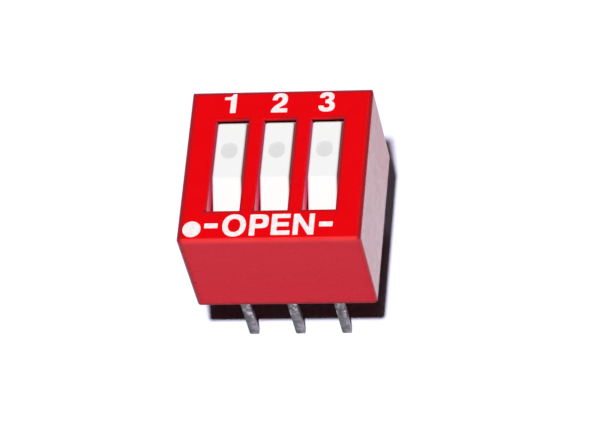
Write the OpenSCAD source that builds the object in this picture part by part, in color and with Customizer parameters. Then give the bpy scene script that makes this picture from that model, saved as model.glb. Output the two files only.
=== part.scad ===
// Rocker DIP switch with three poles, for holes on a 2.54 mm grid.
//
// Each pole is a single-pole, single-throw switch. A rocker turns on two
// trunnions held between the base and the cover. Its stem carries a spring and
// a ball. Pressing the rocker's front (-Y) end swings the ball back, where it
// touches the back terminal alone: open. Pressing the back end swings the ball
// forward, into the gap between the two terminals, which it joins: closed.
//
// Millimetres. The origin is the centre of the seating plane, which is the
// cover's lower rim. +Z is up, the poles lie along X, and the side marked open
// faces -Y. The rockers are drawn with their front ends pressed.

/* [Layout] */
// Spacing of the poles, and of the pins in one row
pole_pitch = 2.54; // [2.5:0.01:2.8]
// Spacing of the two rows of pins
row_spacing = 7.62; // [7.5:0.02:8.4]

/* [Cover] */
// Height of the cover
cover_height = 6.35; // [6.25:0.05:7]
// Thickness of the cover's side walls
side_wall = 0.68; // [0.45:0.01:0.8]
// Thickness of the cover's top
top_wall = 1.1; // [0.8:0.05:1.3]
// Length of the cover past the first and last pole's half pitch
end_margin = 1.045; // [0.95:0.005:1.4]
// Radius of the cover's outer edges
edge_radius = 0.22; // [0.06:0.01:0.25]
// Width of each window
window_width = 1.74; // [1.6:0.02:1.9]
// Radius of the windows' upper edges
window_edge_radius = 0.08; // [0.03:0.01:0.12]
// Thickness of the ribs outside the first and last window
outer_rib = 0.45; // [0.35:0.01:0.6]

/* [Rockers] */
// Angle between a rocker's middle position and either pressed position
rocker_tilt = 17; // [14:0.5:19]
// Height of the ridge between the two facets above the pivot
ridge_height = 2.55; // [2.4:0.05:2.75]
// Depth of the ridge below the cover's top when a rocker is pressed
ridge_depth = 0.06; // [0.02:0.01:0.2]
// Distance from the pivot to the rocker's round ends
end_radius = 3.58; // [3.4:0.02:3.68]
// Gap between a rocker's end and its window
end_gap = 0.12; // [0.06:0.005:0.16]
// Gap between a rocker's side and its window
side_gap = 0.1; // [0.06:0.01:0.14]
// Thickness of the rocker under its facets
roof_thickness = 0.9; // [0.6:0.05:1.2]
// Thickness of the skirts at the rocker's ends
skirt_thickness = 0.6; // [0.4:0.05:0.8]
// Radius of the rocker's long and end edges
rocker_edge_radius = 0.12; // [0.04:0.01:0.14]
// Distance from the ridge to the dimple for a pen's tip, along the back facet
dimple_distance = 1.7; // [1.2:0.05:2.2]
// Width of the dimple
dimple_width = 0.84; // [0.6:0.02:1]
// Length of the dimple along the facet
dimple_length = 0.98; // [0.7:0.02:1.2]
// Depth of the dimple
dimple_depth = 0.04; // [0.02:0.01:0.12]
// Diameter of the trunnions
trunnion_diameter = 0.7; // [0.6:0.02:0.9]
// Half thickness of the stem along Y
stem_half = 0.75; // [0.68:0.01:0.85]
// Distance from the pivot to the stem's lower end
stem_length = 2.02; // [1.95:0.01:2.12]
// Depth of the spring's bore above the pivot
bore_rise = 1.45; // [1.2:0.05:1.6]

/* [Contacts] */
// Diameter of the contact ball
ball_diameter = 1; // [0.9:0.01:1.06]
// Diameter of the spring's wire
wire_diameter = 0.14; // [0.1:0.01:0.16]
// Turns of the spring, its closed end turns included
spring_turns = 8; // [6:1:10]
// Width of the gap that the ball bridges
contact_gap = 0.36; // [0.28:0.02:0.44]
// Diameter of the hole that the ball rests over when open
detent_diameter = 0.4; // [0.3:0.02:0.5]
// Width of a terminal inside the base
pad_width = 1.2; // [1:0.02:1.4]

/* [Pins] */
// Width of a pin
pin_width = 0.51; // [0.4:0.01:0.6]
// Thickness of the terminals' strip
strip_thickness = 0.3; // [0.24:0.01:0.34]
// Length of a pin below the seating plane
pin_length = 4.3; // [3:0.1:5]
// Length over which a pin's inner face slopes to its tip
taper_length = 1.4; // [0.8:0.1:2]
// Thickness of a pin at its tip
tip_thickness = 0.2; // [0.18:0.01:0.24]
// Radius of the two corners at a pin's tip
tip_radius = 0.19; // [0.06:0.01:0.19]
// Radius of a pin's tip across the strip's thickness
tip_side_radius = 0.04; // [0.02:0.01:0.08]
// Outer radius of the bend above a pin
bend_radius = 0.45; // [0.4:0.01:0.6]

/* [Base] */
// Height of the base's underside above the seating plane
base_bottom = 0.55; // [0.45:0.01:0.65]
// Height of the potting's face above the seating plane
potting_recess = 0.12; // [0.05:0.01:0.2]
// Height of the lips at the front and back of the base's floor
lip_height = 0.6; // [0.4:0.05:0.8]
// Thickness of those lips
lip_thickness = 0.3; // [0.2:0.01:0.36]
// Gap between the base and the cover's walls
base_gap = 0.055; // [0.02:0.005:0.08]
// Gap between the base's walls and the cover's ribs
parting_gap = 0.04; // [0.02:0.01:0.08]

/* [Hidden] */

$fn = 64;
poles = 3;
cut_over = 1;            // how far a cutter reaches past what it cuts

// Running clearances
trunnion_clearance = 0.03;
bore_clearance = 0.02;
ball_clearance = 0.03;
spring_clearance = 0.03;
trunnion_end_gap = 0.14; // between neighbouring rockers' trunnions

// Base and cover, from the pins outwards
base_width = row_spacing + strip_thickness;
inner_width = base_width + 2 * base_gap;
cover_width = inner_width + 2 * side_wall;
cover_length = poles * pole_pitch + 2 * end_margin;
inner_length = cover_length - 2 * side_wall;
base_length = inner_length - 2 * base_gap;
rib_thickness = pole_pitch - window_width;
window_radius = end_radius + end_gap;    // of the windows' round ends

// Rockers
pivot_height = cover_height - ridge_depth - ridge_height * cos(rocker_tilt);
rocker_width = window_width - 2 * side_gap;
skirt_bottom = 0;        // height of the skirts' lower edges above the pivot
stem_chamfer = 0.2;
dimple_corner = 0.49 * dimple_width;
hub_radius = 0.95;
trunnion_radius = trunnion_diameter / 2;
trunnion_reach = window_width / 2 + (rib_thickness - trunnion_end_gap) / 2;
seat_radius = trunnion_radius + trunnion_clearance;

// Ball, spring and the trough that the ball sweeps along
ball_radius = ball_diameter / 2;
bore_radius = ball_radius + bore_clearance;
ball_cover = 0.05;       // how far the stem reaches below the ball's centre
ball_reach = stem_length - ball_cover;
trough_radius = ball_reach + ball_radius + ball_clearance;
trough_angle = 28;       // half of the trough's arc
floor_top = pivot_height - trough_radius * cos(trough_angle);

// Terminals
pin_row = row_spacing / 2;
pin_inner = pin_row - strip_thickness / 2;
pin_outer = pin_row + strip_thickness / 2;
gap_angle = asin(contact_gap / 2 / trough_radius);
shoulder_height = 0.3;   // of the taper from a terminal's pad to its pin
shoulder_rise = 0.1;     // between the base's underside and that taper

// ---------------------------------------------------------------- helpers

// Rectangle with round corners, centred on the origin
module rounded_rectangle(length, width, radius) {
    square([length - 2 * radius, width], center = true);
    square([length, width - 2 * radius], center = true);
    for (x = [-1, 1], y = [-1, 1])
        translate([x * (length / 2 - radius), y * (width / 2 - radius)])
            circle(r = radius);
}

// Rectangle that stands on the X axis, with its two upper corners round
module top_rounded_rectangle(width, height, radius) {
    translate([-width / 2, 0])
        square([width, height - radius]);
    translate([-width / 2 + radius, 0])
        square([width - 2 * radius, height]);
    for (side = [-1, 1])
        translate([side * (width / 2 - radius), height - radius])
            circle(r = radius);
}

// Solid of a given width along X, from an outline with Y to the right, Z up
module from_side_view(width) {
    rotate([90, 0, 90])
        linear_extrude(width, center = true)
            children();
}

// Solid of a given depth along Y, from an outline with X to the right, Z up
module from_front_view(depth) {
    rotate([90, 0, 0])
        linear_extrude(depth, center = true)
            children();
}

// Cylinder along X, centred on the origin
module rod(radius, length) {
    rotate([0, 90, 0])
        cylinder(r = radius, h = length, center = true);
}

// Places its children at one pole, with the pivot as their origin
module at_pivot(pole) {
    translate([pole_x(pole), 0, pivot_height])
        children();
}

// Places its children at one pole's rocker, pressed at its front end
module at_rocker(pole) {
    at_pivot(pole)
        rotate([rocker_tilt, 0, 0])
            children();
}

function pole_x(pole) = (pole - (poles + 1) / 2) * pole_pitch;

// Point at a distance from the pivot, at an angle from straight down to +Y
function below_pivot(radius, angle) = [radius * sin(angle), -radius * cos(angle)];

// ------------------------------------------------------------------ cover

module cover_block() {
    intersection() {
        linear_extrude(cover_height)
            rounded_rectangle(cover_length, cover_width, edge_radius);
        from_side_view(cover_length)
            top_rounded_rectangle(cover_width, cover_height, edge_radius);
        from_front_view(cover_width)
            top_rounded_rectangle(cover_length, cover_height, edge_radius);
    }
}

// Everything below the cover's top, inside its side walls
module cover_cavity() {
    translate([-inner_length / 2, -inner_width / 2, -cut_over])
        cube([inner_length, inner_width, cover_height - top_wall + cut_over]);
}

// Ribs beside the windows, which hold the trunnions down
module cover_ribs() {
    rib_bottom = pivot_height + parting_gap / 2;
    rib_height = cover_height - top_wall - rib_bottom;
    for (gap = [1 : poles - 1])
        translate([pole_x(gap) + window_width / 2, -inner_width / 2, rib_bottom])
            cube([rib_thickness, inner_width, rib_height]);
    for (side = [-1, 1])
        translate([
            side * (pole_x(poles) + window_width / 2 + outer_rib / 2),
            0,
            rib_bottom + rib_height / 2
        ])
            cube([outer_rib, inner_width, rib_height], center = true);
}

// Cuts a window whose ends are round about the pivot, and rounds its upper edge
module window_cutter() {
    rim_radius = window_edge_radius;
    half_width = window_width / 2;
    rim_z = cover_height - pivot_height - rim_radius;
    rim_y = sqrt(pow(window_radius + rim_radius, 2) - rim_z * rim_z);
    // How far from the pivot to the rim's axis the round end turns into the rim
    turn = window_radius / (window_radius + rim_radius);
    rod(window_radius, window_width);
    difference() {
        union() {
            translate([-half_width - rim_radius, -rim_y, rim_z])
                cube([window_width + 2 * rim_radius, 2 * rim_y, rim_radius + cut_over]);
            from_side_view(window_width)
                polygon([
                    [-rim_y, rim_z],
                    [-rim_y * turn, rim_z * turn],
                    [rim_y * turn, rim_z * turn],
                    [rim_y, rim_z],
                ]);
        }
        for (side = [-1, 1]) {
            translate([0, side * rim_y, rim_z])
                rod(rim_radius, 2 * window_width);
            translate([side * (half_width + rim_radius), 0, rim_z])
                rotate([90, 0, 0])
                    cylinder(r = rim_radius, h = 4 * end_radius, center = true);
        }
    }
}

module cover() {
    color("red")
        difference() {
            union() {
                difference() {
                    cover_block();
                    cover_cavity();
                }
                cover_ribs();
            }
            for (pole = [1 : poles])
                at_pivot(pole)
                    window_cutter();
            translate([0, 0, pivot_height])
                rod(seat_radius, inner_length);
        }
}

// ------------------------------------------------------------------- base

module base_walls() {
    wall_top = pivot_height - parting_gap / 2;
    for (gap = [1 : poles - 1])
        translate([pole_x(gap) + window_width / 2, -base_width / 2, base_bottom])
            cube([rib_thickness, base_width, wall_top - base_bottom]);
    end_wall = base_length / 2 - pole_x(poles) - window_width / 2;
    for (side = [-1, 1])
        translate([
            side * (base_length / 2 - end_wall / 2),
            0,
            (wall_top + base_bottom) / 2
        ])
            cube([end_wall, base_width, wall_top - base_bottom], center = true);
}

module base_floor() {
    translate([-base_length / 2, -base_width / 2, base_bottom])
        cube([base_length, base_width, floor_top - base_bottom]);
    for (side = [-1, 1])
        translate([
            0,
            side * (base_width / 2 - lip_thickness / 2),
            floor_top + lip_height / 2
        ])
            cube([base_length, lip_thickness, lip_height], center = true);
}

module base() {
    color("dimgray")
        difference() {
            union() {
                base_floor();
                base_walls();
            }
            for (pole = [1 : poles]) {
                at_pivot(pole) {
                    rod(trough_radius, window_width);
                    rod(seat_radius, 2 * trunnion_reach + trunnion_end_gap);
                    // Hollow under the gap that the ball bridges
                    rotate([-rocker_tilt, 0, 0])
                        translate([0, 0, -trough_radius])
                            cube([pad_width, contact_gap, strip_thickness], center = true);
                }
                terminal_blank(pole, 1);
                terminal_blank(pole, -1);
            }
        }
}

module potting() {
    color("black")
        difference() {
            translate([-inner_length / 2, -inner_width / 2, potting_recess])
                cube([inner_length, inner_width, base_bottom - potting_recess]);
            for (pole = [1 : poles], side = [-1, 1])
                terminal_blank(pole, side);
        }
}

// ---------------------------------------------------------------- rockers

// Side view between the facets and the skirts, with the pivot at the origin
module rocker_roof_outline() {
    reach = end_radius + cut_over;
    fall = tan(rocker_tilt);
    pocket_end = end_radius - skirt_thickness;
    roof_drop = roof_thickness / cos(rocker_tilt);
    difference() {
        polygon([
            [0, ridge_height],
            [reach, ridge_height - reach * fall],
            [reach, skirt_bottom],
            [-reach, skirt_bottom],
            [-reach, ridge_height - reach * fall],
        ]);
        for (side = [-1, 1])
            polygon([
                [0, skirt_bottom - cut_over],
                [side * pocket_end, skirt_bottom - cut_over],
                [side * pocket_end, ridge_height - roof_drop - pocket_end * fall],
                [0, ridge_height - roof_drop],
            ]);
    }
}

module rocker_stem_outline() {
    circle(r = hub_radius);
    polygon([
        [-stem_half, 0],
        [-stem_half, -stem_length + stem_chamfer],
        [-stem_half + stem_chamfer / 2, -stem_length],
        [stem_half - stem_chamfer / 2, -stem_length],
        [stem_half, -stem_length + stem_chamfer],
        [stem_half, 0],
    ]);
    translate([-stem_half, 0])
        square([2 * stem_half, ridge_height - roof_thickness]);
}

// Disc about the pivot with round rims, which gives the rocker its ends
module rocker_disc() {
    rotate([0, 90, 0])
        rotate_extrude()
            intersection() {
                rounded_rectangle(2 * end_radius, rocker_width, rocker_edge_radius);
                translate([0, -rocker_width])
                    square([2 * end_radius, 2 * rocker_width]);
            }
}

// Bar whose round-edged top lies in one facet
module facet_bar(side) {
    bar_height = ridge_height + stem_length + cut_over;
    translate([0, 0, ridge_height])
        rotate([-side * rocker_tilt, 0, 0])
            translate([0, 0, -bar_height])
                from_front_view(4 * end_radius)
                    top_rounded_rectangle(rocker_width, bar_height, rocker_edge_radius);
}

// Cuts the flat, oval dimple into the back facet
module dimple_cutter() {
    translate([0, 0, ridge_height])
        rotate([-rocker_tilt, 0, 0])
            translate([0, dimple_distance, -dimple_depth])
                linear_extrude(dimple_depth + cut_over)
                    rounded_rectangle(dimple_width, dimple_length, dimple_corner);
}

module rocker(pole) {
    color("white")
        at_rocker(pole)
            difference() {
                union() {
                    intersection() {
                        rocker_disc();
                        facet_bar(1);
                        facet_bar(-1);
                        from_side_view(rocker_width)
                            rocker_roof_outline();
                    }
                    from_side_view(rocker_width)
                        rocker_stem_outline();
                    rod(trunnion_radius, 2 * trunnion_reach);
                }
                translate([0, 0, -stem_length - cut_over])
                    cylinder(r = bore_radius, h = stem_length + cut_over + bore_rise);
                dimple_cutter();
            }
}

// --------------------------------------------------------- balls, springs

module ball(pole) {
    color("gold")
        at_rocker(pole)
            translate([0, 0, -ball_reach])
                sphere(r = ball_radius);
}

// Height of the wire above its start after a number of turns. The first and
// last turn lie closed, and the rest share what is left of the length.
function wire_rise(turn, turns, length, closed) =
    turn < 1 ? closed * turn
    : turn > turns - 1 ? length - closed * (turns - turn)
    : closed + (length - 2 * closed) * (turn - 1) / (turns - 2);

module coil_spring(coil_radius, wire_radius, length, turns) {
    wire_sides = 6;
    turn_steps = 14;
    last_ring = turns * turn_steps;
    closed = 2.1 * wire_radius;
    points = [
        for (ring = [0 : last_ring], corner = [0 : wire_sides - 1])
            let (
                turn = ring / turn_steps,
                around = 360 * turn,
                across = 360 * corner / wire_sides,
                reach = coil_radius + wire_radius * cos(across)
            )
            [
                reach * cos(around),
                reach * sin(around),
                wire_rise(turn, turns, length, closed) + wire_radius * sin(across)
            ]
    ];
    sides = [
        for (ring = [0 : last_ring - 1], corner = [0 : wire_sides - 1])
            let (
                here = ring * wire_sides,
                next = (corner + 1) % wire_sides
            )
            [
                here + corner,
                here + wire_sides + corner,
                here + wire_sides + next,
                here + next
            ]
    ];
    start = [for (corner = [0 : wire_sides - 1]) corner];
    end = [for (corner = [wire_sides - 1 : -1 : 0]) last_ring * wire_sides + corner];
    polyhedron(points, concat([start], sides, [end]));
}

module spring(pole) {
    wire_radius = wire_diameter / 2;
    coil_radius = bore_radius - spring_clearance - wire_radius;
    // The lowest turn sits on the ball, where both surfaces touch
    contact_reach = ball_radius + wire_radius + spring_clearance;
    seat = sqrt(contact_reach * contact_reach - coil_radius * coil_radius) - ball_reach;
    length = bore_rise - wire_radius - spring_clearance - seat;
    color("silver")
        at_rocker(pole)
            translate([0, 0, seat])
                coil_spring(coil_radius, wire_radius, length, spring_turns);
}

// -------------------------------------------------------------- terminals

// Side view of a terminal whose pin is on the +Y side. Its contact arc starts
// at an angle from straight down below the pivot.
module terminal_side_outline(start_angle) {
    bend_y = pin_outer - bend_radius;
    bend_z = floor_top - bend_radius;
    far = 2 * trough_radius;
    translate([0, pivot_height])
        intersection() {
            difference() {
                circle(r = trough_radius + strip_thickness);
                circle(r = trough_radius);
            }
            polygon([
                [0, 0],
                below_pivot(far, start_angle),
                below_pivot(far, (start_angle + trough_angle) / 2),
                below_pivot(far, trough_angle),
            ]);
        }
    run_start = trough_radius * sin(trough_angle);
    translate([run_start, floor_top - strip_thickness])
        square([bend_y - run_start, strip_thickness]);
    translate([bend_y, bend_z])
        intersection() {
            difference() {
                circle(r = bend_radius);
                circle(r = bend_radius - strip_thickness);
            }
            square(bend_radius);
        }
    translate([pin_row, bend_z])
        pin_side_outline(pin_length + bend_z);
}

// Side view of a pin that hangs from the origin, its inner face on the -Y side
module pin_side_outline(length) {
    outer = strip_thickness / 2;
    inner = outer - tip_thickness;
    round_z = tip_side_radius - length;
    polygon([
        [-outer, 0],
        [-outer, taper_length - length],
        [inner, round_z],
        [inner + tip_side_radius, -length],
        [outer - tip_side_radius, -length],
        [outer, round_z],
        [outer, 0],
    ]);
    for (round_y = [inner + tip_side_radius, outer - tip_side_radius])
        translate([round_y, round_z])
            circle(r = tip_side_radius);
}

// Front view of a terminal: a wide pad, two shoulders and a pin
module terminal_front_outline() {
    shoulder_bottom = base_bottom + shoulder_rise;
    shoulder_top = shoulder_bottom + shoulder_height;
    translate([-pad_width / 2, shoulder_top])
        square([pad_width, cover_height]);
    polygon([
        [-pad_width / 2, shoulder_top],
        [-pin_width / 2, shoulder_bottom],
        [pin_width / 2, shoulder_bottom],
        [pad_width / 2, shoulder_top],
    ]);
    mirror([0, 1])
        translate([0, -shoulder_bottom])
            top_rounded_rectangle(pin_width, pin_length + shoulder_bottom, tip_radius);
}

// A terminal before its detent hole is pierced. Side 1 is at the back.
module terminal_blank(pole, side) {
    open_angle = rocker_tilt;
    start_angle = side > 0 ? -open_angle + gap_angle : open_angle + gap_angle;
    translate([pole_x(pole), 0, 0])
        mirror([0, side > 0 ? 0 : 1, 0])
            intersection() {
                from_side_view(pad_width)
                    terminal_side_outline(start_angle);
                from_front_view(2 * row_spacing)
                    terminal_front_outline();
            }
}

module front_terminal(pole) {
    color("lightgray")
        terminal_blank(pole, -1);
}

module back_terminal(pole) {
    color("lightgray")
        difference() {
            terminal_blank(pole, 1);
            at_rocker(pole)
                translate([0, 0, -trough_radius - strip_thickness - cut_over])
                    cylinder(d = detent_diameter, h = strip_thickness + 2 * cut_over);
        }
}

// ------------------------------------------------------------------ nodes

cover();
base();
potting();
rocker(1);  // rocker_1
rocker(2);  // rocker_2
rocker(3);  // rocker_3
spring(1);  // spring_1
spring(2);  // spring_2
spring(3);  // spring_3
ball(1);  // ball_1
ball(2);  // ball_2
ball(3);  // ball_3
front_terminal(1);  // front_terminal_1
front_terminal(2);  // front_terminal_2
front_terminal(3);  // front_terminal_3
back_terminal(1);  // back_terminal_1
back_terminal(2);  // back_terminal_2
back_terminal(3);  // back_terminal_3
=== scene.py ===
import math

import bmesh
import bpy
from mathutils import Matrix, Vector


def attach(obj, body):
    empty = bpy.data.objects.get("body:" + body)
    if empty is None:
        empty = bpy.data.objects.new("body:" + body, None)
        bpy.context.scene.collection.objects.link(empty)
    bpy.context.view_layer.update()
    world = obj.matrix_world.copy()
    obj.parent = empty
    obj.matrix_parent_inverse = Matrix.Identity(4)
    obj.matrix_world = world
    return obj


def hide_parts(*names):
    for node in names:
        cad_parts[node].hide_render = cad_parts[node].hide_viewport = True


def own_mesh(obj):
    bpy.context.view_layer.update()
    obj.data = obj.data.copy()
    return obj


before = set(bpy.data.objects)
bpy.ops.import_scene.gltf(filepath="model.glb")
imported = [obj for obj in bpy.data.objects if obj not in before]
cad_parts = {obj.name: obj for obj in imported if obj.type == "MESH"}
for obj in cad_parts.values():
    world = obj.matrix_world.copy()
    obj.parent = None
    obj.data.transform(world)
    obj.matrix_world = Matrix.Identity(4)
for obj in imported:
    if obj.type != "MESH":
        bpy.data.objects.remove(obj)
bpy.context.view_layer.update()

MM = 0.001

# ---------------------------------------------------------------- sizes, in mm

POLE_PITCH = 2.54
COVER_END = 4.855
COVER_FRONT = 4.695
COVER_TOP = 6.35
EDGE_RADIUS = 0.22
WINDOW_HALF_WIDTH = 0.95  # rim included
WINDOW_HALF_LENGTH = 2.905  # rim included
PIN_TIPS = -4.3
FLECKS_BOTTOM = -2.9

ROCKER_TILT = 17.0  # degrees
RIDGE_HEIGHT = 2.55  # above the pivot
FACET_HEIGHT = 6.29  # of the level facet, at rest
PIVOT_HEIGHT = FACET_HEIGHT - RIDGE_HEIGHT * math.cos(math.radians(ROCKER_TILT))
RIDGE_Y = -RIDGE_HEIGHT * math.sin(math.radians(ROCKER_TILT))
SPOT_DISTANCE = 1.7  # from the ridge
SPOT_HALF_WIDTH = 0.42
SPOT_HALF_LENGTH = 0.49
SPOT_DEPTH = 0.04

BALL_RADIUS = 0.5
BALL_REACH = 1.97  # from the pivot down to the ball's centre
BORE_RISE = 1.45  # of the bore's end above the pivot
SPRING_CLEARANCE = 0.03
WIRE_RADIUS = 0.07
WIRE_SIDES = 12
COIL_RADIUS = 0.42  # to the wire's centre line
COIL_TURNS = 8
COIL_STEPS = 28  # in a turn
CLOSED_RISE = 2.1 * WIRE_RADIUS  # of the first and the last turn
COIL_TOP = BORE_RISE - SPRING_CLEARANCE - WIRE_RADIUS
BALL_TO_WIRE = BALL_RADIUS + SPRING_CLEARANCE + WIRE_RADIUS
COIL_BOTTOM = math.sqrt(BALL_TO_WIRE ** 2 - COIL_RADIUS ** 2) - BALL_REACH

INK_THICKNESS = 0.010
INK_SUNK = 0.002  # below the cover's surface
INK_CORNER = 0.04  # how far a corner's rounding reaches
OUTLINE_STEP = 0.012  # between the points of an outline
CURVE_STEPS = 24  # in one curve of an outline
FOLDS = 4  # rows of corners that bend the ink over the cover's back edge
FOLD_STEP = 0.03

FLOOR_HALF = 300
LAMP_DISTANCE = 250

CAMERA_DISTANCE = 214.5
CAMERA_ASIDE = 0.057
CAMERA_RAISED = 0.41
CAMERA_ROLL = -16.49  # degrees
FOCAL_PIXELS = 4000
PICTURE_PIXELS = 591  # the picture's width


# ---------------------------------------------------------------- shader maths


class Socket:
    """An output of a material's nodes. Python's arithmetic on it adds Math nodes."""

    def __init__(self, finish, output):
        self.finish = finish
        self.output = output

    def maths(self, operation, *values):
        return self.finish.node("Math", {"operation": operation}, dict(enumerate(values)))

    def __add__(self, other):
        return self.maths("ADD", self, other)

    def __radd__(self, other):
        return self.maths("ADD", other, self)

    def __sub__(self, other):
        return self.maths("SUBTRACT", self, other)

    def __rsub__(self, other):
        return self.maths("SUBTRACT", other, self)

    def __mul__(self, other):
        return self.maths("MULTIPLY", self, other)

    def __rmul__(self, other):
        return self.maths("MULTIPLY", other, self)

    def __truediv__(self, other):
        return self.maths("DIVIDE", self, other)

    def __pow__(self, other):
        return self.maths("POWER", self, other)

    def rounded(self):
        return self.maths("ROUND", self)

    def size(self):
        return self.maths("ABSOLUTE", self)

    def at_least(self, other):
        return self.maths("MAXIMUM", self, other)

    def at_most(self, other):
        return self.maths("MINIMUM", self, other)


class Finish:
    """A material or a world, built from nodes."""

    def __init__(self, owner):
        owner.use_nodes = True
        self.owner = owner
        self.nodes = owner.node_tree.nodes
        self.links = owner.node_tree.links
        self.nodes.clear()

    def node(self, kind, settings=None, inputs=None, output=0):
        """A node, its settings made first, then its inputs linked or set."""
        made = self.nodes.new("ShaderNode" + kind)
        for name, value in (settings or {}).items():
            setattr(made, name, value)
        for name, value in (inputs or {}).items():
            if isinstance(value, Socket):
                self.links.new(value.output, made.inputs[name])
            else:
                made.inputs[name].default_value = value
        return Socket(self, made.outputs[output]) if made.outputs else None

    def mix(self, amount, colour_a, colour_b):
        """Colour a where amount is 0, colour b where it is 1."""
        inputs = {0: amount, 6: colour_a, 7: colour_b}
        return self.node("Mix", {"data_type": "RGBA"}, inputs, output=2)

    def place(self):
        """Where a surface point is, in mm, in its body's own frame."""
        point = self.node("TexCoord", output="Object")
        return self.scaled(point, 1 / MM)

    def scaled(self, vector, times):
        return self.node("VectorMath", {"operation": "SCALE"}, {0: vector, "Scale": times})

    def stretched(self, vector, factors):
        return self.node("VectorMath", {"operation": "MULTIPLY"}, {0: vector, 1: factors})

    def parts(self, vector):
        """The x, y and z of a vector."""
        split = self.node("SeparateXYZ", inputs={0: vector})
        return [Socket(self, output) for output in split.output.node.outputs]

    def noise(self, place, grain, detail=2.0, roughness=0.5):
        """Soft random blotches, about grain mm across, from 0 to 1."""
        inputs = {"Vector": place, "Scale": 1 / grain, "Detail": detail, "Roughness": roughness}
        return self.node("TexNoise", inputs=inputs)

    def step(self, value, low, high, to_low=0.0, to_high=1.0):
        """An eased step from to_low below low to to_high above high."""
        settings = {"interpolation_type": "SMOOTHSTEP"}
        inputs = {
            "Value": value,
            "From Min": low,
            "From Max": high,
            "To Min": to_low,
            "To Max": to_high,
        }
        return self.node("MapRange", settings, inputs)

    def near(self, distance, fades_at, full_at):
        """1 at a distance of full_at mm and nearer, easing to 0 at fades_at mm."""
        return self.step(distance, fades_at, full_at)

    def softened_edges(self, radius):
        """The surface's normal with its sharp edges rounded over by radius mm."""
        return self.node("Bevel", {"samples": 6}, {"Radius": radius * MM})

    def bumped(self, height, depth, normal):
        """The normal of a surface whose height, from 0 to 1, stands for depth mm."""
        inputs = {"Height": height, "Distance": depth * MM, "Strength": 1.0, "Normal": normal}
        return self.node("Bump", inputs=inputs)

    def principled(self, **sockets):
        """A Principled shader with the sockets named."""
        named = {name.replace("_", " "): value for name, value in sockets.items()}
        return self.node("BsdfPrincipled", inputs=named)

    def mixed(self, amount, shader_a, shader_b):
        """Shader a where amount is 0, shader b where it is 1."""
        return self.node("MixShader", inputs={0: amount, 1: shader_a, 2: shader_b})

    def surface(self, **sockets):
        """Makes the material from one Principled shader."""
        return self.shown(self.principled(**sockets))

    def shown(self, shader):
        self.node("OutputMaterial", inputs={"Surface": shader})
        return self.owner


def colour(red, green, blue):
    return (red, green, blue, 1.0)


def new_finish(name):
    return Finish(bpy.data.materials.new(name))


def from_pole(x):
    """How far x is from the middle of the nearest pole, in mm."""
    return x - POLE_PITCH * (x / POLE_PITCH).rounded()


# ---------------------------------------------------------------- finishes


def moulded_red():
    """The cover's plastic: finely spark-eroded, a little uneven, lightly handled.

    Its faces have a pale sheen, which is duller in streaks on the right end. Along the edges
    and window rims the sheen is dropped and a deeper red is painted on as shade. The walls
    inside the windows have a stronger, pinker sheen that stands in for light thrown back by the
    white rockers, painted light, and none far down in the windows, which paints shade there.
    """
    finish = new_finish("moulded_red")
    place = finish.place()
    x, y, z = finish.parts(place)
    blotches = finish.noise(place, 1.3, detail=3.0)
    scuff_lines = finish.noise(finish.stretched(place, (0.5, 6.0, 2.0)), 0.8, detail=4.0)
    scuffs = finish.step(scuff_lines, 0.62, 0.84)
    edge_shade = painted_edge_shade(finish, x, y, z)

    ripples = finish.noise(place, 2.2, detail=1.0)
    grain = finish.noise(place, 0.09, detail=2.0)
    normal = finish.softened_edges(0.03)
    normal = finish.bumped(ripples, 0.010, normal)
    normal = finish.bumped(grain, 0.0022, normal)
    plastic = {
        "Base_Color": cover_colour(finish, y, z, blotches, scuffs, edge_shade),
        "Roughness": 0.25 + 0.05 * blotches + 0.015 * scuffs,
        "IOR": 1.2,
        "Normal": normal,
    }
    pale = {"Sheen_Weight": 0.64, "Sheen_Tint": colour(0.5, 0.89, 0.88)}
    # The window walls' strong pink sheen is painted light, standing in for light thrown back by
    # the rockers.
    pink = {"Sheen_Weight": 1.0, "Sheen_Tint": colour(1.0, 0.14, 0.36)}
    faces = finish.principled(Sheen_Roughness=0.2, **pale, **plastic)
    edges = finish.principled(**plastic)
    walls = finish.principled(Sheen_Roughness=0.2, **pink, **plastic)

    # No sheen where shade is painted along the edges and rims, and less in streaks on the right
    # end.
    dull = edge_shade.at_least(dulled_end(finish, place, x, y))
    # Painted shade: far down in the windows the walls lose their sheen.
    painted_deep_shade = finish.step(COVER_TOP - z, 0.8, 1.2)
    outside = finish.mixed(dull, faces, edges)
    inside = finish.mixed(painted_deep_shade, walls, edges)
    return finish.shown(finish.mixed(within_walls(finish, x, y, z), outside, inside))


def cover_colour(finish, y, z, blotches, scuffs, edge_shade):
    """Scarlet on top, and on the sides a brighter, bluer red that is painted light and
    reflection. Paler where scuffed, paler still along the front top edge as a painted
    highlight, and a deeper red painted as shade along the edges and window rims.
    """
    below_top = COVER_TOP - z
    behind_front = y + COVER_FRONT
    side = finish.step(below_top, 0, 0.15)
    scarlet = finish.mix(blotches, colour(0.79, 0.0006, 0.0030), colour(0.85, 0.0012, 0.0050))
    # The sides' red is brighter and bluer than the top's scarlet: painted light and reflection
    # on the sides.
    crimson_painted_light = finish.mix(blotches, colour(0.86, 0.0006, 0.018), colour(0.90, 0.0012, 0.024))
    red = finish.mix(side, scarlet, crimson_painted_light)

    handled = 0.16 * side * finish.step(z, 1.5, 5.5)
    red = finish.mix(handled + 0.05 * scuffs, red, colour(0.86, 0.05, 0.06))
    # A painted highlight: the front top edge is paler, as where light catches its rounding.
    painted_edge_highlight = finish.near(below_top, fades_at=0.45, full_at=0.12)
    painted_edge_highlight *= finish.near(behind_front, fades_at=0.22, full_at=0.02)
    red = finish.mix((0.3 + 0.7 * blotches) * painted_edge_highlight, red, colour(0.92, 0.064, 0.075))
    # Painted shade: a deeper red along the edges and window rims.
    return finish.mix(edge_shade, red, colour(0.36, 0.008, 0.014))


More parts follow.
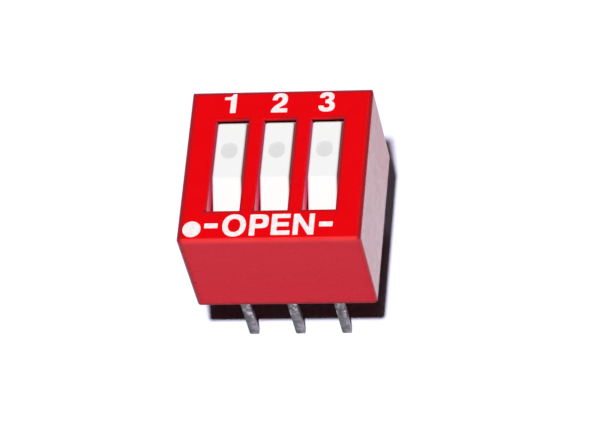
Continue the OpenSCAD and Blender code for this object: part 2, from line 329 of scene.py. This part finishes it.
def painted_edge_shade(finish, x, y, z):
    """How far a deeper red is painted as shade along the cover's edges and window rims."""
    at_left = finish.near(x + COVER_END, fades_at=0.42, full_at=0.10)
    at_right = finish.near(COVER_END - x, fades_at=0.30, full_at=0.04)
    at_back = finish.near(COVER_FRONT - y, fades_at=0.40, full_at=0.08)
    on_top = finish.near(COVER_TOP - z, fades_at=0.18, full_at=0.10)
    at_front_or_back = finish.near(COVER_FRONT - y.size(), fades_at=0.18, full_at=0.10)
    at_bottom = finish.near(z, fades_at=0.34, full_at=0.02)

    around_top = at_left.at_least(at_right).at_least(at_back)
    top = on_top * around_top.at_least(painted_rim_shade(finish, x, y))
    uprights = at_front_or_back * at_left.at_least(0.2 * at_right)
    return top.at_least(0.9 * uprights).at_least(at_bottom)


def painted_rim_shade(finish, x, y):
    """How far shade is painted on the windows' rims, most at their right and front sides."""
    to_pole = x.size().at_most((x.size() - POLE_PITCH).size())
    from_window = (to_pole - WINDOW_HALF_WIDTH).at_least(y.size() - WINDOW_HALF_LENGTH)
    at_rim = finish.near(from_window, fades_at=0.20, full_at=-0.06)
    at_front = finish.near(y + WINDOW_HALF_LENGTH, fades_at=0.40, full_at=0.05)
    rightward = finish.step(from_pole(x), -0.8, 0.8)
    return at_rim * (0.15 + 0.75 * rightward).at_least(0.85 * at_front)


def dulled_end(finish, place, x, y):
    """How far the right end's sheen is dulled, in streaks and towards the back."""
    streaks = finish.noise(finish.stretched(place, (1.0, 1.6, 0.8)), 0.55, detail=3.0)
    dulled = 0.22 * finish.step(streaks, 0.38, 0.64) + 0.22 * finish.step(y, -1.0, 4.0)
    return dulled * finish.near(COVER_END - x, fades_at=0.08, full_at=0.03)


def within_walls(finish, x, y, z):
    """1 inside the cover's outer faces, where the walls of the windows are."""
    inside_ends = finish.step(COVER_END - x.size(), 0.10, 0.15)
    inside_sides = finish.step(COVER_FRONT - y.size(), 0.10, 0.15)
    return inside_ends * inside_sides * finish.step(COVER_TOP - z, 0.02, 0.08)


def rocker_white():
    """The rockers' plastic: matte white, with a grey spot where a pen tip presses."""
    finish = new_finish("rocker_white")
    place = finish.place()
    x, y, z = finish.parts(place)
    blotches = finish.noise(place, 0.9, detail=3.0)
    white = finish.mix(blotches, colour(0.895, 0.895, 0.89), colour(0.915, 0.915, 0.915))
    grey = colour(0.735, 0.735, 0.74)

    normal = finish.softened_edges(0.025)
    normal = finish.bumped(finish.noise(place, 0.12), 0.0016, normal)
    return finish.surface(
        Base_Color=finish.mix(pressed_spot(finish, x, y, z), white, grey),
        Roughness=0.46 + 0.12 * blotches,
        Specular_IOR_Level=0.4,
        Normal=normal,
    )


def pressed_spot(finish, x, y, z):
    """1 on the floor of the shallow oval in each rocker's level facet."""
    across = from_pole(x) / SPOT_HALF_WIDTH
    along = (y - (RIDGE_Y + SPOT_DISTANCE)) / SPOT_HALF_LENGTH
    from_spot = (across * across + along * along) ** 0.5
    depths = (FACET_HEIGHT - z) / SPOT_DEPTH
    sunk = finish.step(depths, 0.1, 0.5) * finish.step(depths, 3, 2)
    return finish.step(from_spot, 1.10, 1.08) * sunk


def base_black():
    """The base's plastic: black, glass-filled, with a fine pale fleck."""
    finish = new_finish("base_black")
    place = finish.place()
    fibres = finish.noise(finish.stretched(place, (1.0, 3.0, 3.0)), 0.10, detail=4.0)
    flecks = finish.step(fibres, 0.60, 0.74)
    black = finish.mix(flecks * 0.5, colour(0.014, 0.014, 0.015), colour(0.06, 0.06, 0.06))
    normal = finish.softened_edges(0.03)
    normal = finish.bumped(fibres, 0.003, normal)
    return finish.surface(Base_Color=black, Roughness=0.48 + 0.14 * fibres, Normal=normal)


def cast_epoxy():
    """The potting: dark resin that set slightly uneven, with fine dust."""
    finish = new_finish("cast_epoxy")
    place = finish.place()
    swell = finish.noise(place, 2.6, detail=1.0)
    dust = finish.step(finish.noise(place, 0.13, detail=3.0), 0.66, 0.76)
    black = finish.mix(dust * 0.35, colour(0.008, 0.008, 0.009), colour(0.10, 0.095, 0.09))
    normal = finish.bumped(swell, 0.05, finish.softened_edges(0.04))
    return finish.surface(
        Base_Color=black,
        Roughness=0.16 + 0.20 * dust + 0.08 * swell,
        Specular_IOR_Level=0.15,
        Normal=normal,
    )


def tinned_strip():
    """The terminals: dull tin on stamped strip, each pin's right half painted lighter as a
    reflection, and flecks on the pins' upper part that are partly dried flux, partly painted
    reflection of the red cover.
    """
    finish = new_finish("tinned_strip")
    place = finish.place()
    x, _, z = finish.parts(place)
    stains = finish.noise(place, 0.35, detail=4.0, roughness=0.6)
    draw_lines = finish.noise(finish.stretched(place, (9.0, 9.0, 0.8)), 0.5, detail=3.0)
    stained = finish.step(stains, 0.35, 0.68)
    greenish = finish.mix(stained, colour(0.078, 0.094, 0.074), colour(0.130, 0.152, 0.122))
    # Each pin's right half is lighter and violet: a painted reflection.
    violet_painted_reflection = finish.mix(stained, colour(0.165, 0.150, 0.150), colour(0.330, 0.300, 0.300))
    rightward = finish.step(from_pole(x) + 0.4 * (stains - 0.5), -0.22, 0.22)
    tin = finish.mix(rightward, greenish, violet_painted_reflection)

    # Flecks on the pins' upper part, pale and dark: partly dried flux, partly painted
    # reflection of the red cover.
    on_pin = finish.step(z, FLECKS_BOTTOM, FLECKS_BOTTOM + 0.8) * finish.step(z, 0.3, 0.1)
    flux_and_reflection = finish.noise(finish.stretched(place, (1.0, 1.0, 0.6)), 0.17, detail=2.0)
    pale = finish.step(flux_and_reflection, 0.53, 0.66) * on_pin
    dark = finish.step(flux_and_reflection, 0.46, 0.36) * on_pin
    crust_and_reflection = finish.mix(rightward, colour(0.46, 0.33, 0.34), colour(0.68, 0.64, 0.60))
    tin = finish.mix(pale * 0.8, tin, crust_and_reflection)
    tin = finish.mix(dark * 0.6, tin, colour(0.045, 0.035, 0.035))

    normal = finish.softened_edges(0.03)
    normal = finish.bumped(stains, 0.012, normal)
    normal = finish.bumped(draw_lines, 0.003, normal)
    return finish.surface(
        Base_Color=tin,
        Metallic=1.0,
        Roughness=0.34 + 0.16 * stains,
        Normal=normal,
    )


def gilt_ball():
    """The contact balls: gold over brass, faintly worn where they rub."""
    finish = new_finish("gilt_ball")
    place = finish.place()
    wear = finish.noise(place, 0.22, detail=4.0)
    worn = finish.step(wear, 0.45, 0.75)
    gold = finish.mix(worn, colour(0.90, 0.62, 0.22), colour(0.80, 0.56, 0.26))
    normal = finish.node("NewGeometry", output="Normal")
    return finish.surface(
        Base_Color=gold,
        Metallic=1.0,
        Roughness=0.16 + 0.14 * wear,
        Normal=finish.bumped(wear, 0.002, normal),
    )


def spring_wire():
    """The springs: bright drawn steel wire."""
    finish = new_finish("spring_wire")
    place = finish.place()
    drawn = finish.noise(place, 0.06, detail=3.0)
    steel = finish.mix(drawn, colour(0.50, 0.50, 0.51), colour(0.62, 0.62, 0.62))
    normal = finish.node("NewGeometry", output="Normal")
    return finish.surface(
        Base_Color=steel,
        Metallic=1.0,
        Roughness=0.22 + 0.14 * drawn,
        Normal=finish.bumped(drawn, 0.0015, normal),
    )


def white_ink():
    """The legends: white printing ink that thins to pink here and there."""
    finish = new_finish("white_ink")
    place = finish.place()
    coverage = finish.noise(place, 0.22, detail=3.0)
    thin = finish.step(coverage, 0.62, 0.38)
    white = finish.mix(thin * 0.4, colour(0.95, 0.94, 0.945), colour(0.94, 0.58, 0.64))
    normal = finish.softened_edges(0.008)
    normal = finish.bumped(coverage, 0.002, normal)
    return finish.surface(Base_Color=white, Roughness=0.42 + 0.12 * coverage, Normal=normal)


# ---------------------------------------------------------------- printed legends

# An outline is a loop of points in hundredths of a mm, from the letter's lower
# left corner. A pair is a point on the line. A point with a third value, ROUND,
# pulls the line towards itself, and the line is midway between two of those.

ROUND = 1

LETTER_E = [[
    (0, 0), (99, 0), (99, 26), (29, 26), (29, 52), (91, 52),
    (91, 77), (29, 77), (29, 103), (97, 103), (97, 128), (0, 128),
]]

LETTER_N = [[
    (0, 0), (0, 128), (30, 128), (83, 43), (83, 128),
    (110, 128), (110, 0), (80, 0), (27, 85), (27, 0),
]]

LETTER_P = [
    [
        (0, 0), (0, 129), (54, 129), (82, 129, ROUND), (99, 112, ROUND), (99, 87),
        (99, 62, ROUND), (82, 45, ROUND), (54, 45), (29, 45), (29, 0),
    ],
    [(29, 104), (52, 104), (70, 104, ROUND), (70, 87), (70, 70, ROUND), (52, 70), (29, 70)],
]

DASH = [[(0, 0), (71, 0), (71, 29), (0, 29)]]

NUMBER_1 = [[
    (34, 0), (64, 0), (64, 120), (44, 120), (39, 103, ROUND), (20, 101, ROUND),
    (0, 101), (0, 84), (34, 84),
]]

NUMBER_2 = [[
    (0, 0), (87, 0), (87, 25), (39, 25), (48, 36, ROUND), (85, 55, ROUND), (85, 85),
    (85, 121, ROUND), (45, 121), (4, 121, ROUND), (4, 78), (31, 78), (31, 98, ROUND),
    (44, 98), (57, 98, ROUND), (57, 84), (57, 69, ROUND), (37, 55), (0, 31, ROUND),
]]

NUMBER_3 = [[
    (4, 87), (4, 122, ROUND), (42, 122), (81, 122, ROUND), (81, 91), (81, 73, ROUND),
    (65, 65), (87, 57, ROUND), (87, 34), (87, -1, ROUND), (43, -1), (0, -1, ROUND), (0, 37),
    (27, 37), (27, 23, ROUND), (43, 23), (59, 23, ROUND), (59, 37), (59, 53, ROUND),
    (35, 53), (35, 74), (54, 74, ROUND), (54, 87), (54, 99, ROUND), (42, 99),
    (30, 99, ROUND), (30, 87),
]]


def oval(centre, half_width, half_height, fullness=0.45):
    """A loop of eight ROUND points about an oval."""
    corners = [(1, fullness), (fullness, 1), (-fullness, 1), (-1, fullness)]
    corners += [(-x, -y) for x, y in corners]
    return [
        (centre[0] + x * half_width, centre[1] + y * half_height, ROUND) for x, y in corners
    ]


LETTER_O = [oval((62, 64), 62, 68), oval((62, 64), 33, 41)]
DOT = [oval((48, 48), 48, 48, fullness=0.414)]


def traced(loop):
    """The points along an outline's loop, in mm, at an even spacing."""
    points = []
    for here, after in zip(loop, loop[1:] + loop[:1]):
        points.append(here)
        if len(here) == 3 and len(after) == 3:
            points.append(((here[0] + after[0]) / 2, (here[1] + after[1]) / 2))
    start = next(i for i, point in enumerate(points) if len(point) == 2)
    points = points[start:] + points[:start] + [points[start]]

    dense = []
    for i, point in enumerate(points[:-1]):
        here = Vector(point[:2])
        if len(point) == 3:
            before = Vector(points[i - 1][:2])
            after = Vector(points[i + 1][:2])
            for k in range(CURVE_STEPS):
                t = k / CURVE_STEPS
                dense.append((1 - t) ** 2 * before + 2 * t * (1 - t) * here + t * t * after)
        elif len(points[i + 1]) == 2:
            dense.append(here)
    dense.append(Vector(points[-1][:2]))
    dense = [point / 100 for point in dense]
    return spaced(dense, OUTLINE_STEP)


def spaced(line, gap):
    """A closed line's points, set again at an even spacing near gap."""
    lengths = [(b - a).length for a, b in zip(line, line[1:])]
    count = max(12, round(sum(lengths) / gap))
    pace = sum(lengths) / count
    found, walked, target = [], 0.0, 0.0
    for a, b, length in zip(line, line[1:], lengths):
        while length > 0 and target <= walked + length and len(found) < count:
            found.append(a.lerp(b, (target - walked) / length))
            target += pace
        walked += length
    return found


def rounded_corners(points, reach):
    """Each point moved to the mean of its neighbours within reach, as ink spreads."""
    half = max(1, round(reach / OUTLINE_STEP))
    count = len(points)
    return [
        sum((points[(i + k) % count] for k in range(-half, half + 1)), Vector((0, 0)))
        / (2 * half + 1)
        for i in range(count)
    ]


def cover_height(y):
    """The height of the cover's top at y, lower where its back edge is rounded."""
    onto_edge = max(0, y - (COVER_FRONT - EDGE_RADIUS))
    return COVER_TOP - EDGE_RADIUS + math.sqrt(EDGE_RADIUS ** 2 - onto_edge ** 2)


def printed(name, outline, left, bottom, ink):
    """A legend of ink on the cover's top, its box's corner at (left, bottom) mm."""
    shape = bmesh.new()
    for loop in outline:
        edge_points = rounded_corners(traced(loop), INK_CORNER)
        verts = [shape.verts.new((left + p.x, bottom + p.y, 0)) for p in edge_points]
        for a, b in zip(verts, verts[1:] + verts[:1]):
            shape.edges.new((a, b))
    bmesh.ops.triangle_fill(shape, edges=shape.edges[:], use_beauty=True)
    for k in range(FOLDS):
        fold = Vector((0, COVER_FRONT - EDGE_RADIUS + FOLD_STEP * k, 0))
        whole = shape.verts[:] + shape.edges[:] + shape.faces[:]
        bmesh.ops.bisect_plane(shape, geom=whole, plane_co=fold, plane_no=(0, 1, 0))
    raised = bmesh.ops.extrude_face_region(shape, geom=shape.faces[:])
    upper = {part for part in raised["geom"] if isinstance(part, bmesh.types.BMVert)}
    for vert in shape.verts:
        lift = INK_THICKNESS if vert in upper else -INK_SUNK
        vert.co.z = cover_height(vert.co.y) + lift
    bmesh.ops.scale(shape, vec=(MM, MM, MM), verts=shape.verts)
    bmesh.ops.recalc_face_normals(shape, faces=shape.faces[:])
    piece = solid(name, shape, ink)
    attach(piece, "housing")


def solid(name, shape, material, smooth=False):
    """The object that a bmesh makes."""
    mesh = bpy.data.meshes.new(name)
    shape.to_mesh(mesh)
    shape.free()
    for face in mesh.polygons:
        face.use_smooth = smooth
    mesh.materials.append(material)
    piece = bpy.data.objects.new(name, mesh)
    bpy.context.collection.objects.link(piece)
    return piece


def print_legends():
    ink = white_ink()
    legends = [
        ("number_1", NUMBER_1, -3.06, 3.29),
        ("number_2", NUMBER_2, -0.52, 3.27),
        ("number_3", NUMBER_3, 2.01, 3.27),
        ("pole_1_dot", DOT, -4.56, -4.44),
        ("dash_left", DASH, -3.42, -3.91),
        ("letter_o", LETTER_O, -2.46, -4.40),
        ("letter_p", LETTER_P, -1.02, -4.40),
        ("letter_e", LETTER_E, 0.13, -4.38),
        ("letter_n", LETTER_N, 1.28, -4.39),
        ("dash_right", DASH, 2.64, -3.90),
    ]
    for name, outline, left, bottom in legends:
        printed(name, outline, left, bottom, ink)


# ---------------------------------------------------------------- springs


def coil_points():
    """The wire's centre line in the rocker's frame, with a closed turn at each end."""
    length = COIL_TOP - COIL_BOTTOM
    open_rise = (length - 2 * CLOSED_RISE) / (COIL_TURNS - 2)
    points = []
    for i in range(COIL_TURNS * COIL_STEPS + 1):
        turn = i / COIL_STEPS
        if turn < 1:
            rise = CLOSED_RISE * turn
        elif turn > COIL_TURNS - 1:
            rise = length - CLOSED_RISE * (COIL_TURNS - turn)
        else:
            rise = CLOSED_RISE + open_rise * (turn - 1)
        around = 2 * math.pi * turn
        points.append(Vector((
            COIL_RADIUS * math.cos(around),
            COIL_RADIUS * math.sin(around),
            COIL_BOTTOM + rise,
        )))
    return points


def tube(shape, points, radius, sides):
    """A round tube along points, closed at both ends."""
    rings = []
    for i, point in enumerate(points):
        ahead = points[min(i + 1, len(points) - 1)] - points[max(i - 1, 0)]
        ahead.normalize()
        outward = Vector((point.x, point.y, 0)).normalized()
        upward = ahead.cross(outward).normalized()
        outward = upward.cross(ahead)
        ring = []
        for k in range(sides):
            angle = 2 * math.pi * k / sides
            offset = outward * math.cos(angle) + upward * math.sin(angle)
            ring.append(shape.verts.new(point + offset * radius))
        rings.append(ring)
    for ring, after in zip(rings, rings[1:]):
        for k in range(sides):
            n = (k + 1) % sides
            shape.faces.new((ring[k], ring[n], after[n], after[k]))
    shape.faces.new(rings[0][::-1])
    shape.faces.new(rings[-1])
    bmesh.ops.recalc_face_normals(shape, faces=shape.faces[:])


def rocker_frame(pole):
    """From a rocker's own frame, in mm, to the part's frame, in metres."""
    pivot = Vector(((pole - 2) * POLE_PITCH, 0, PIVOT_HEIGHT))
    tilt = Matrix.Rotation(math.radians(ROCKER_TILT), 4, "X")
    return Matrix.Scale(MM, 4) @ Matrix.Translation(pivot) @ tilt


def fit_springs():
    wire = spring_wire()
    for pole in (1, 2, 3):
        place = rocker_frame(pole)
        shape = bmesh.new()
        tube(shape, coil_points(), WIRE_RADIUS, WIRE_SIDES)
        shape.transform(place)
        spring = solid(f"coil_spring_{pole}", shape, wire, smooth=True)
        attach(spring, f"rocker_{pole}")
        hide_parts(f"spring_{pole}")
        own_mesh(spring)


# ---------------------------------------------------------------- the CAD pieces' finishes


def finish_nodes():
    finishes = {
        "cover": moulded_red(),
        "base": base_black(),
        "potting": cast_epoxy(),
        "rocker": rocker_white(),
        "ball": gilt_ball(),
        "terminal": tinned_strip(),
    }
    for name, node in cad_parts.items():
        for kind, material in finishes.items():
            if kind in name:
                for slot in node.material_slots:
                    slot.material = material


# ---------------------------------------------------------------- the studio


def lay_floor():
    """A pale sheet under the pins. It shows as white and keeps the part's shadow."""
    finish = new_finish("pale_sheet")
    lighting = finish.node("BsdfDiffuse", inputs={"Color": colour(0.52, 0.52, 0.53)})
    seen = finish.node("BsdfDiffuse", inputs={"Color": colour(1.03, 1.01, 1.25)})
    finish.shown(finish.mixed(looked_at(finish), lighting, seen))

    shape = bmesh.new()
    corners = [(-1, -1), (1, -1), (1, 1), (-1, 1)]
    corners = [Vector((x * FLOOR_HALF, y * FLOOR_HALF, PIN_TIPS)) for x, y in corners]
    shape.faces.new([shape.verts.new(corner * MM) for corner in corners])
    floor = solid("floor", shape, finish.owner)


def looked_at(finish):
    """1 for what the camera sees, also in a glossy or clear surface, 0 for other light."""
    paths = finish.node("LightPath").output.node.outputs
    camera, glossy, clear, scattered = (
        Socket(finish, paths[name])
        for name in ("Is Camera Ray", "Is Glossy Ray", "Is Transmission Ray", "Diffuse Depth")
    )
    return camera.at_least(glossy).at_least(clear) * (1 - scattered).at_least(0)


def light_room():
    """A high key lamp in front, and a dim room with white walls and a dark ceiling."""
    world = bpy.data.worlds.new("room")
    bpy.context.scene.world = world
    finish = Finish(world)
    direction = finish.node("TexCoord", output="Generated")
    height = finish.parts(direction)[2]
    ceiling, walls, glow = 0.12, 1.0, 0.004
    seen = finish.step(height, 0.80, 0.60, ceiling, walls)
    strength = glow + (seen - glow) * looked_at(finish)
    white = colour(1.0, 1.0, 1.0)
    shader = finish.node("Background", inputs={"Color": white, "Strength": strength})
    finish.node("OutputWorld", inputs={"Surface": shader})

    hang_lamp("key", azimuth=11, elevation=69.1, energy=3.3, spread=3)
    hang_lamp("back", azimuth=170, elevation=60, energy=0.1, spread=12)


def hang_lamp(name, azimuth, elevation, energy, spread):
    """A distant lamp, its azimuth measured from the front towards the right."""
    light = bpy.data.lights.new(name, "SUN")
    light.energy = energy
    light.angle = math.radians(spread)
    lamp = bpy.data.objects.new(name, light)
    bpy.context.collection.objects.link(lamp)
    towards = from_centre(azimuth, elevation)
    lamp.location = towards * LAMP_DISTANCE * MM
    lamp.rotation_mode = "QUATERNION"
    lamp.rotation_quaternion = (-towards).to_track_quat("-Z", "Y")


def from_centre(azimuth, elevation):
    """The direction at an azimuth right of the front and an elevation, in degrees."""
    a, e = math.radians(azimuth), math.radians(elevation)
    return Vector((math.sin(a) * math.cos(e), -math.cos(a) * math.cos(e), math.sin(e)))


def set_camera():
    """A long lens above the front, a little to the right, rolled to the left."""
    roll = math.radians(CAMERA_ROLL)
    back = from_centre(azimuth=18.60, elevation=55.99)
    right = Vector((0, 0, 1)).cross(back).normalized()
    over = back.cross(right)
    x_axis = right * math.cos(roll) + over * math.sin(roll)
    y_axis = over * math.cos(roll) - right * math.sin(roll)
    view = bpy.data.cameras.new("camera")
    view.lens = FOCAL_PIXELS * view.sensor_width / PICTURE_PIXELS
    view.clip_start = 0.01
    camera = bpy.data.objects.new("camera", view)
    bpy.context.collection.objects.link(camera)
    axes = Matrix((x_axis, y_axis, back)).transposed().to_4x4()
    place = x_axis * CAMERA_ASIDE + y_axis * CAMERA_RAISED + back * CAMERA_DISTANCE
    camera.matrix_world = Matrix.Translation(place * MM) @ axes
    bpy.context.scene.camera = camera


bpy.context.scene.view_settings.view_transform = "Standard"
finish_nodes()
fit_springs()
print_legends()
lay_floor()
light_room()
set_camera()
